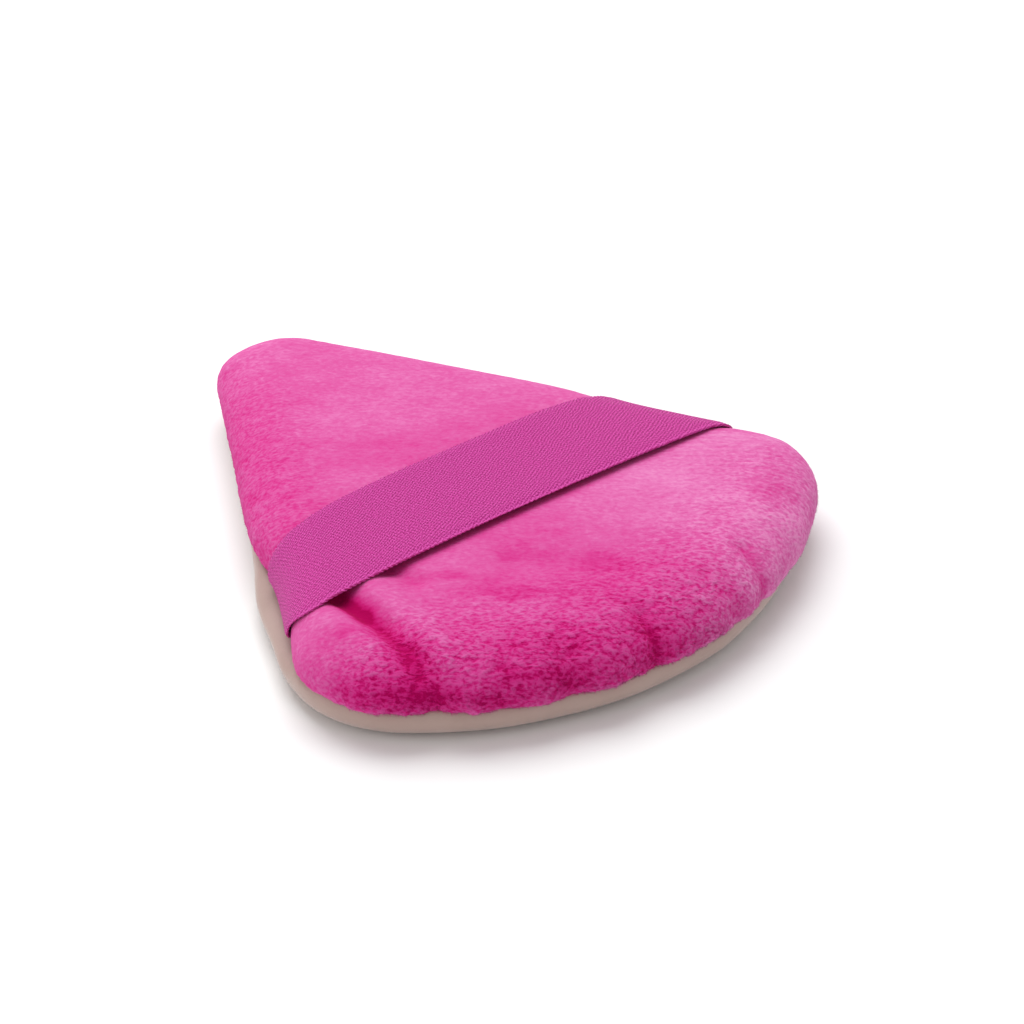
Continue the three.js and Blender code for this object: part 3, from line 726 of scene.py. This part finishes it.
root_roll = roll_share[fibre_root][:, None]
root_clump = clump_share[fibre_root][:, None]
lean = np.stack([patchy(root_points, 2.0, seed) for seed in (52, 53, 54)], 1)
nap = np.array([0.75, -0.65, -0.1])
fibre_way = (
    (fibre_stand + clump_stand * root_clump) * base_normal
    + clump_splay * root_normal * root_clump
    + (nap_lean - clump_lean * root_clump) * nap
    + fibre_sway * lean
    + fibre_scatter * draw.normal(size=(fibre_count, 3))
    - np.array([0, 0, fibre_droop]) * root_roll
)
fibre_into = np.minimum((fibre_way * base_normal).sum(1, keepdims=True) - fibre_clear, 0)
fibre_way = fibre_way - fibre_into * base_normal
fibre_way /= np.linalg.norm(fibre_way, axis=1, keepdims=True)
fibre_length = (short_fibre + clump_fibre * root_clump) * draw.uniform(0.6, 1.15, (fibre_count, 1))
fibre_side = np.cross(fibre_way, draw.normal(size=(fibre_count, 3)))
fibre_side /= np.linalg.norm(fibre_side, axis=1, keepdims=True)
fibre_back = np.cross(fibre_way, fibre_side)
root_points = root_points - fibre_sunk * base_normal
corners = [
    root_points + 0.5 * fibre_width * (np.cos(turn) * fibre_side + np.sin(turn) * fibre_back)
    for turn in np.radians((90, 210, 330))
]
fibre_points = np.stack([*corners, root_points + fibre_way * fibre_length], 1).reshape(-1, 3) * MM
fibre_start = 4 * np.arange(fibre_count)[:, None]
fibre_faces = (fibre_start[:, None] + np.array([[0, 1, 3], [1, 2, 3], [2, 0, 3], [2, 1, 0]])).reshape(-1, 3)
fibres = body("velour_fibres", fibre_points, fibre_faces.tolist())
# Each fibre is painted darker at its root, a painted shade, and paler at its end, a painted highlight.
fibre_tone_and_shading = tuft_tone_and_shading[fibre_root] + draw.normal(0, tone_scatter, fibre_count)
tell(fibres, "pile_tone_and_shading", np.stack([fibre_tone_and_shading - root_shade] * 3 + [fibre_tone_and_shading + end_highlight], 1).ravel())
tell(fibres, "pile_ruffle", np.full(4 * fibre_count, fibre_ruffle))
soft_normal = base_normal + 0.5 * root_normal + 0.35 * fibre_way
soft_normal /= np.linalg.norm(soft_normal, axis=1, keepdims=True)
fibres.data.normals_split_custom_set_from_vertices(np.repeat(soft_normal, 4, 0).tolist())
fibres.data.materials.append(velour_dye("pink_pile"))
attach(fibres, "puff")

# The ribbon: a strip of magenta twill, 14 mm wide, with woven edges. Its two ends are caught in the side
# seams and its middle lies loose over the crown, so that fingers lift it.
half_lines, half_steps = 64, 260
weft_pitch, edge_bead, edge_tooth, edge_thinning = 0.6, 0.03, 0.06, 0.2
slack_height, slack_pitch, edge_gathering = 0.05, 6.0, 0.09
foot_tries, smoothing_passes = 14, 3
side_share = np.linspace(0, 1, 6001)
front_arc_share = front_radius * (np.pi + 2 * front_end) / rim_length
side_share = front_arc_share + side_share * ((1 + front_arc_share) / 2 - front_arc_share)
side_rim_y = rim_at(side_share)[1]


def right_side_at(y, inset_for):
    """The place on the right-hand side with a given Y, at an inset that follows the pull there."""
    foot = rim_at(np.interp(y, side_rim_y, side_share))
    for _ in range(foot_tries):
        inset = inset_for(pull_at(foot[1]))
        foot = rim_at(np.interp(y + foot[3] * inset, side_rim_y, side_share))
    inset = inset_for(pull_at(foot[1]))
    return foot[0] - foot[2] * inset, foot[2], foot[1]


def band_line_y(across, spread, end):
    end_y, end_width = end
    width = end_width + (band_width - end_width) * spread
    return end_y + (band_centre_y - end_y) * spread + width * (across - 0.5)


def band_roll(across, degrees, above, end):
    turn = np.radians(degrees)
    y = band_line_y(across, smooth(degrees, 0, band_leave_turn), end)
    x, nx, _ = right_side_at(y, lambda pull: roll_reach + (pull - roll_reach) * np.cos(turn))
    height = roll_bulge_height + (top_rise(x, y) + above) * np.sin(turn)
    return np.stack([x + above * np.cos(turn) / nx, y, height], 1)


def band_under(across, degrees, above, end):
    turn = np.radians(degrees)
    y = band_line_y(across, 0, end)
    x, nx, foot_y = right_side_at(y, lambda pull: pull + seam_draw_in * (1 - np.cos(turn)))
    edge = seam_height + seam_half_opening(foot_y)
    height = roll_bulge_height - (roll_bulge_height - edge) * np.sin(turn)
    return np.stack([x + above * np.cos(turn) / nx, y, height - 0.5 * above * np.sin(turn)], 1)


def band_tail(across, inset, height, end):
    y = band_line_y(across, 0, end)
    x, _, _ = right_side_at(y, lambda pull: pull + inset)
    return np.stack([x, y, height + 0 * y], 1)


def band_crown(across, share, above, end):
    leave = band_roll(across, band_leave_turn, above, end)
    x = leave[:, 0] * share
    lift = above + (band_slack + band_tilt * across) * (1 - share**4)
    return np.stack([x, leave[:, 1], top_height(x, leave[:, 1]) + lift], 1)


def band_face(across, above, tail_height, end):
    """Points of one face of the right half, from the middle to the sewn end, evenly spaced."""
    run = np.array([
        *(band_crown(across, share, above, end) for share in np.linspace(0, 1, 120)),
        *(band_roll(across, turn, above, end) for turn in np.linspace(band_leave_turn, 0, 30)[1:]),
        *(band_under(across, turn, above, end) for turn in (20, 40)),
        *(
            band_tail(across, inset, tail_height, end)
            for inset in (seam_draw_in, 0.6 * edge_inset, edge_inset)
        ),
    ])
    steps = np.linalg.norm(np.diff(run, axis=0), axis=2)
    travel = np.concatenate([np.zeros((1, len(across))), np.cumsum(steps, 0)])
    even = np.empty((half_steps, len(across), 3))
    for line in range(len(across)):
        for axis in range(3):
            even[:, line, axis] = np.interp(
                np.linspace(0, travel[-1, line], half_steps), travel[:, line], run[:, line, axis]
            )
    for _ in range(smoothing_passes):
        even[1:-1] = 0.25 * even[:-2] + 0.5 * even[1:-1] + 0.25 * even[2:]
    return even, travel[-1].mean()


def band_half(name, side):
    """Half of the ribbon, from the middle to its sewn end, and its length."""
    end = band_ends[side]
    across = np.linspace(0, 1, half_lines)
    across = across - edge_gathering * np.sin(4 * np.pi * across) / np.pi  # closer lines at the woven edges
    outer, length = band_face(across, layer_gap + band_thickness, seam_height - band_thickness / 2, end)
    inner, _ = band_face(across, layer_gap, seam_height + band_thickness / 2, end)
    along = np.linspace(0, length, half_steps)[:, None] * side + 0 * across
    over = across * band_width + 0 * along
    edge = np.minimum(over, band_width - over)
    away = outer - inner
    away /= np.linalg.norm(away, axis=2, keepdims=True)
    thin = edge_thinning * (1 - smooth(edge, 0, 0.9))
    weft_turns = np.cos(2 * np.pi * along / weft_pitch)
    bead = edge_bead * weft_turns * swell(edge, 0, 0.3)
    flat_points = np.stack([along, over, 0 * over], -1).reshape(-1, 3)
    slack_wave = slack_height * patchy(flat_points, slack_pitch, 61).reshape(over.shape)
    outer = outer + away * (bead + slack_wave - thin)[..., None]
    inner = inner + away * (thin + slack_wave)[..., None]
    tooth = edge_tooth * weft_turns * swell(edge, 0, 0.25) * np.sign(over - band_width / 2)
    outer[..., 1] += tooth
    inner[..., 1] += tooth
    points = np.concatenate([outer.reshape(-1, 3), inner.reshape(-1, 3)]) * [side, 1, 1] * MM
    upper, lower = np.arange(2 * half_steps * half_lines).reshape(2, half_steps, half_lines)

    def strip(a, b):
        return np.stack([a[:-1], b[:-1], b[1:], a[1:]], -1).reshape(-1, 4)

    faces = np.concatenate([
        *(strip(upper[:, line + 1], upper[:, line]) for line in range(half_lines - 1)),
        *(strip(lower[:, line], lower[:, line + 1]) for line in range(half_lines - 1)),
        strip(upper[:, 0], lower[:, 0]), strip(lower[:, -1], upper[:, -1]),
        strip(upper[0], lower[0]), strip(lower[-1], upper[-1]),
    ])
    piece = body(name, points, (faces if side > 0 else faces[:, ::-1]).tolist())
    piece.data.set_sharp_from_angle(angle=np.radians(50))
    tell(piece, "weave_along", np.tile(along.ravel(), 2))
    tell(piece, "weave_over", np.tile(over.ravel(), 2))
    tell(piece, "front_edge_highlight", np.tile(swell(over.ravel(), 0, 0.35), 2))
    return piece, length


ribbon_finish, ribbon_shader = finish("magenta_twill", {
    "Roughness": 0.7, "Specular IOR Level": 0.2, "Sheen Weight": 0.1,
    "Sheen Roughness": 0.4, "Sheen Tint": (1.0, 0.75, 0.95, 1),
})


def ribbon_node(first, way, second, third=0.0):
    return wire(ribbon_finish, "ShaderNodeMath", {0: first, 1: second, 2: third}, operation=way).outputs[0]


def ribbon_told(name):
    return wire(ribbon_finish, "ShaderNodeAttribute", {}, attribute_name=name).outputs["Fac"]


ribbon_along, ribbon_over, ribbon_front_highlight = (
    ribbon_told(name) for name in ("weave_along", "weave_over", "front_edge_highlight")
)
ribbon_place = wire(ribbon_finish, "ShaderNodeCombineXYZ", {
    "X": ribbon_along, "Y": ribbon_over,
}).outputs["Vector"]
ribbon_lint = wire(ribbon_finish, "ShaderNodeTexNoise", {
    "Vector": ribbon_place, "Scale": 6.5, "Detail": 2, "Roughness": 0.6,
}).outputs["Fac"]
ribbon_drift = wire(ribbon_finish, "ShaderNodeTexNoise", {
    "Vector": ribbon_place, "Scale": 0.25,
}).outputs["Fac"]
# The twill lines run at a low angle to the ribbon, wander a little, and are cut into short floats. Lint blurs
# them, and a painted highlight makes the front edge paler.
twill_pitch, twill_along, twill_over, twill_wander = 0.34, -0.44, 0.90, 14.0
float_pitch_along, float_pitch_over, float_share = 0.5, 0.9, 0.5
lint_gain, lint_offset, weave_share, edge_highlight = 2.8, -0.87, 0.20, 0.22
ribbon_drift = ribbon_node(ribbon_drift, "MULTIPLY", twill_wander)
ribbon_lint = ribbon_node(ribbon_lint, "MULTIPLY_ADD", lint_gain, lint_offset)
ribbon_rib = ribbon_node(ribbon_along, "MULTIPLY_ADD", twill_along * 2 * np.pi / twill_pitch, ribbon_drift)
ribbon_rib = ribbon_node(ribbon_over, "MULTIPLY_ADD", twill_over * 2 * np.pi / twill_pitch, ribbon_rib)
ribbon_rib = ribbon_node(ribbon_rib, "SINE", 0.0)
ribbon_float = ribbon_node(ribbon_along, "MULTIPLY", 2 * np.pi / float_pitch_along)
ribbon_float = ribbon_node(ribbon_over, "MULTIPLY_ADD", 2 * np.pi / float_pitch_over, ribbon_float)
ribbon_float = ribbon_node(ribbon_float, "SINE", 0.0)
ribbon_weave = ribbon_node(ribbon_float, "MULTIPLY_ADD", float_share, ribbon_rib)
ribbon_mix = ribbon_node(ribbon_weave, "MULTIPLY_ADD", weave_share, ribbon_lint)
ribbon_mix = ribbon_node(ribbon_front_highlight, "MULTIPLY_ADD", edge_highlight, ribbon_mix)
ribbon_colour = shades(ribbon_finish, ribbon_mix, [
    (0.1, (0.28, 0.004, 0.118, 1)), (0.5, (0.52, 0.023, 0.252, 1)), (0.9, (0.76, 0.092, 0.455, 1)),
])
ribbon_finish.node_tree.links.new(ribbon_colour, ribbon_shader.inputs["Base Color"])
rough_by(ribbon_finish, ribbon_shader, ribbon_mix, strength=0.6, distance=0.00012)
for ribbon_name, ribbon_side in (("ribbon_left", -1), ("ribbon_right", 1)):
    ribbon, ribbon_reach = band_half(ribbon_name, ribbon_side)
    ribbon.data.materials.append(ribbon_finish)
    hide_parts("finger_band")
    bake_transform(ribbon)

# The threads: two-ply polyester, 0.4 mm thick. A machine seam joins the turned-in edges with one thread on
# each side, a short row holds each ribbon end, and hand stitches close the gap that the filling went through.
thread_diameter, stitch_length, stitch_wave = 0.4, 4.0, 0.1
seam_stitches, basting_spacing = seam_draw_in + 2.4, 0.9
closing_length, closing_y, closing_wave = 24.0, 18.0, 0.25
thread_offset = layer_gap + thread_diameter / 2 + stitch_wave
ply_twist, ply_sides, ply_step, ply_radius = 1.1, 6, 0.14, 0.27 * thread_diameter


def stitch_row(start, end, inset, height, wave):
    """Points along a row of stitches between two places on the rim, which waves once a stitch."""
    length = (end - start) * rim_length
    share = np.linspace(0, 1, int(length / ply_step))
    rim = rim_at(start + (end - start) * share)
    swing = wave * np.cos(2 * np.pi * round(length / stitch_length) * share)
    return ring_at(rim, inset + pull_at(rim[1]), height(rim[1]) + swing)


def twisted_thread(name, node, material, row):
    """Two plies wound around each other along a row."""
    ahead = np.gradient(row, axis=0)
    ahead /= np.linalg.norm(ahead, axis=1, keepdims=True)
    beside = np.cross(ahead, [0, 0, 1])
    beside /= np.linalg.norm(beside, axis=1, keepdims=True)
    above = np.cross(beside, ahead)
    travel = np.concatenate([[0], np.cumsum(np.linalg.norm(np.diff(row, axis=0), axis=1))])
    around = 2 * np.pi * np.arange(ply_sides) / ply_sides
    points, faces = [], []
    for ply in (0, np.pi):
        turn = 2 * np.pi * travel / ply_twist + ply
        middle = row + thread_diameter / 4 * (np.cos(turn)[:, None] * beside + np.sin(turn)[:, None] * above)
        ring = np.cos(around)[:, None, None] * beside + np.sin(around)[:, None, None] * above
        first = len(row) * ply_sides * len(points)
        points.append((middle + ply_radius * ring).transpose(1, 0, 2).reshape(-1, 3))
        grid = first + np.arange(len(row) * ply_sides).reshape(len(row), ply_sides)
        near, far = grid[:-1], grid[1:]
        faces += np.stack([near, np.roll(near, -1, 1), np.roll(far, -1, 1), far], -1).reshape(-1, 4).tolist()
        faces += [grid[0, ::-1].tolist(), grid[-1].tolist()]
    thread = body(name, np.concatenate(points) * MM, faces)
    thread.data.materials.append(material)
    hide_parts(node)
    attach(thread, "puff")


def thread_dye(name, dark, light):
    material, shader = finish(name, {"Roughness": 0.6, "Specular IOR Level": 0.3, "Sheen Weight": 0.2})
    place = wire(material, "ShaderNodeTexCoord", {}).outputs["Object"]
    filaments = wire(material, "ShaderNodeTexNoise", {
        "Vector": place, "Scale": 9000, "Detail": 3, "Roughness": 0.6,
    }).outputs["Fac"]
    colour = shades(material, filaments, [(0.3, dark), (0.7, light)])
    material.node_tree.links.new(colour, shader.inputs["Base Color"])
    rough_by(material, shader, filaments, strength=0.5, distance=0.00004)
    return material


def over_velour_edge(y):
    return seam_height + seam_half_opening(y) + velour_thickness + thread_offset


def under_skin_edge(y):
    return seam_height - seam_half_opening(y) - skin_thickness - thread_offset


def along_seam(y):
    return seam_height + 0 * y


closing_middle = np.interp(closing_y, side_rim_y, side_share)
closing_start = closing_middle - closing_length / rim_length / 2
closing_end = closing_middle + closing_length / rim_length / 2
pink_thread = thread_dye("pink_thread", (0.42, 0.03, 0.22, 1), (0.66, 0.10, 0.38, 1))
beige_thread = thread_dye("beige_thread", (0.50, 0.41, 0.36, 1), (0.72, 0.62, 0.56, 1))
ribbon_thread = thread_dye("ribbon_thread", (0.36, 0.02, 0.19, 1), (0.57, 0.08, 0.33, 1))
needle_row = stitch_row(closing_end, closing_start + 1, seam_stitches, over_velour_edge, stitch_wave)
bobbin_row = stitch_row(closing_end, closing_start + 1, seam_stitches, under_skin_edge, stitch_wave)
twisted_thread("needle_thread", "seam_needle_thread", pink_thread, needle_row)
twisted_thread("bobbin_thread", "seam_bobbin_thread", beige_thread, bobbin_row)
basting_from, basting_to = np.interp(
    [band_end_y - band_end_width / 2, band_end_y + band_end_width / 2], side_rim_y, side_share
)
for basting_side, basting_start, basting_end in (
    ("right", basting_from, basting_to),
    ("left", front_arc_share - basting_to, front_arc_share - basting_from),
):
    basting_row = stitch_row(
        basting_start, basting_end, seam_stitches + basting_spacing, over_velour_edge, stitch_wave
    )
    twisted_thread(
        f"basting_{basting_side}", f"band_basting_{basting_side}", ribbon_thread, basting_row
    )
closing_inset = seam_draw_in - layer_gap - thread_diameter - closing_wave
closing_row = stitch_row(closing_start, closing_end, closing_inset, along_seam, closing_wave)
twisted_thread("hand_stitches", "closing_thread", pink_thread, closing_row)

# The studio: a plain white floor under the puff, one large soft lamp above and behind it, a small one low on
# the left, and even light from all around. The camera looks down on the front left corner.
floor_points = 3.0 * np.array([[-1, -1, 0], [1, -1, 0], [1, 1, 0], [-1, 1, 0]])
floor = body("floor", floor_points, [[0, 1, 2, 3]])
floor_finish, _ = finish("white_floor", {
    "Base Color": (0.95, 0.95, 0.95, 1), "Roughness": 0.9, "Specular IOR Level": 0.1,
})
floor.data.materials.append(floor_finish)

world = bpy.data.worlds.new("studio")
world.use_nodes = True
world.node_tree.nodes["Background"].inputs["Color"].default_value = (1, 1, 1, 1)
world.node_tree.nodes["Background"].inputs["Strength"].default_value = 0.58
bpy.context.scene.world = world


def lamp(name, place, aim, size, power):
    light = bpy.data.lights.new(name, "AREA")
    light.size, light.energy = size, power
    stand = bpy.data.objects.new(name, light)
    stand.location = place
    way = np.subtract(aim, place)
    stand.rotation_mode = "QUATERNION"
    stand.rotation_quaternion = Vector(way.tolist()).to_track_quat("-Z", "Y")
    bpy.context.collection.objects.link(stand)


lamp("key_lamp", place=(0.10, 0.24, 0.55), aim=(0, 0, 0), size=0.55, power=3.15)
lamp("left_lamp", place=(-0.45, 0.10, 0.18), aim=(0, 0, 0), size=0.30, power=0.35)

camera = bpy.data.cameras.new("photo_camera")
camera.sensor_width, camera.lens = 36.0, 120.2
camera.clip_start, camera.clip_end = 0.01, 20
camera_stand = bpy.data.objects.new("photo_camera", camera)
camera_turn, camera_rise, camera_distance = np.radians(-39.5), np.radians(33.07), 0.3965
camera_aim = np.array([0.00278, -0.007875, 0.006])
camera_back = np.array([
    np.sin(camera_turn) * np.cos(camera_rise),
    -np.cos(camera_turn) * np.cos(camera_rise),
    np.sin(camera_rise),
])
camera_stand.location = camera_aim + camera_back * camera_distance
camera_stand.rotation_euler = (np.pi / 2 - camera_rise, 0, camera_turn)
bpy.context.collection.objects.link(camera_stand)
bpy.context.scene.camera = camera_stand
bpy.context.scene.view_settings.view_transform = "Standard"
